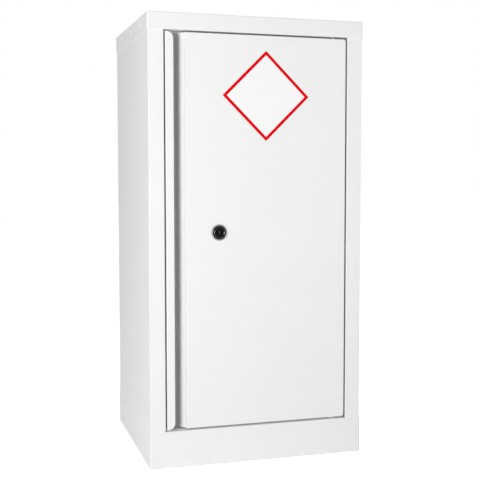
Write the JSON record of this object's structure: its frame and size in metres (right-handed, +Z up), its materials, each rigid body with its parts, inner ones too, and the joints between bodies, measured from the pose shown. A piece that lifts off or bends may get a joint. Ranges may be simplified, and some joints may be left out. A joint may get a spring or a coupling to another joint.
{
  "type": "acid storage cabinet",
  "caption": "White folded-steel cabinet with an inset door on pivots, full-height channel pull, rod lock, lipped shelf on slotted uprights and a liner tray in its base.",
  "frame": {"origin": "centre of the outline at floor level, under the base tray", "axes": "+Z up, -Y out of the door, +X to the right of someone facing the door"},
  "size_m": [0.4578, 0.422, 0.915],
  "materials": {
    "powder_coat": "white polyester powder coat, semi-gloss, fine orange peel",
    "zinc_plate": "bright zinc plate, satin",
    "bright_steel": "satin nickel-plated steel",
    "black_lacquer": "gloss black",
    "black_rubber": "matte rubber",
    "nylon": "natural white nylon",
    "liner_plastic": "moulded polypropylene, satin",
    "sign_film": "white vinyl film with a printed red border"
  },
  "bodies": {
    "cabinet": {"side_panel_left": "powder_coat", "side_panel_right": "powder_coat", "back_panel": "powder_coat", "top_cap": "powder_coat", "base_tray": "powder_coat", "rivet_cap_front_left": "powder_coat", "rivet_cap_front_right": "powder_coat", "rivet_cap_middle_left": "powder_coat", "rivet_cap_middle_right": "powder_coat", "rivet_cap_back_left": "powder_coat", "rivet_cap_back_right": "powder_coat", "rivet_base_front_left": "powder_coat", "rivet_base_front_right": "powder_coat", "rivet_base_middle_left": "powder_coat", "rivet_base_middle_right": "powder_coat", "rivet_base_back_left": "powder_coat", "rivet_base_back_right": "powder_coat", "frame_hinge_plate_top": "zinc_plate", "frame_hinge_plate_bottom": "zinc_plate", "hinge_bush_top": "nylon", "hinge_washer_bottom": "nylon", "hinge_pin_bottom": "bright_steel", "door_buffer_upper": "black_rubber", "door_buffer_lower": "black_rubber", "end_stop_upper": "powder_coat", "end_stop_lower": "powder_coat", "upright_front_left": "zinc_plate", "upright_front_right": "zinc_plate", "upright_rear_left": "zinc_plate", "upright_rear_right": "zinc_plate", "shelf_clip_front_left": "zinc_plate", "shelf_clip_front_right": "zinc_plate", "shelf_clip_rear_left": "zinc_plate", "shelf_clip_rear_right": "zinc_plate", "shelf": "powder_coat", "sump_liner": "liner_plastic"},
    "door": {"door_skin": "powder_coat", "door_stiffener": "powder_coat", "door_hinge_plate_top": "zinc_plate", "door_hinge_plate_bottom": "zinc_plate", "hinge_pin_top": "bright_steel", "lock_bezel": "bright_steel", "lock_housing": "black_lacquer", "lock_nut": "zinc_plate", "rod_guide_upper": "zinc_plate", "rod_guide_lower": "zinc_plate", "rod_bush_top": "nylon", "rod_bush_bottom": "nylon"},
    "lock_barrel": {"lock_plug": "black_lacquer", "lock_cam": "zinc_plate", "cam_screw": "zinc_plate"},
    "upper_rod": {"rod_upper": "zinc_plate"},
    "lower_rod": {"rod_lower": "zinc_plate"}
  },
  "joints": [
    {"name": "door_swing", "type": "hinge", "parent": "cabinet", "child": "door", "pos_m": [0.165, -0.1975, 0.47825], "axis": [0, 0, 1], "range_deg": [0, 110]},
    {"name": "lock_turn", "type": "hinge", "parent": "door", "child": "lock_barrel", "pos_m": [-0.0825, -0.19, 0.47825], "axis": [0, 1, 0], "range_deg": [0, 90]},
    {"name": "upper_rod_slide", "type": "slide", "parent": "door", "child": "upper_rod", "axis": [0, 0, 1], "range_m": [0, 0.0198]},
    {"name": "lower_rod_slide", "type": "slide", "parent": "door", "child": "lower_rod", "axis": [0, 0, -1], "range_m": [0, 0.0198]}
  ],
  "couplings": [
    {"joint": "lock_turn", "follows": "upper_rod_slide", "rad_per_m": 79.33},
    {"joint": "lower_rod_slide", "follows": "upper_rod_slide", "ratio": 1}
  ]
}
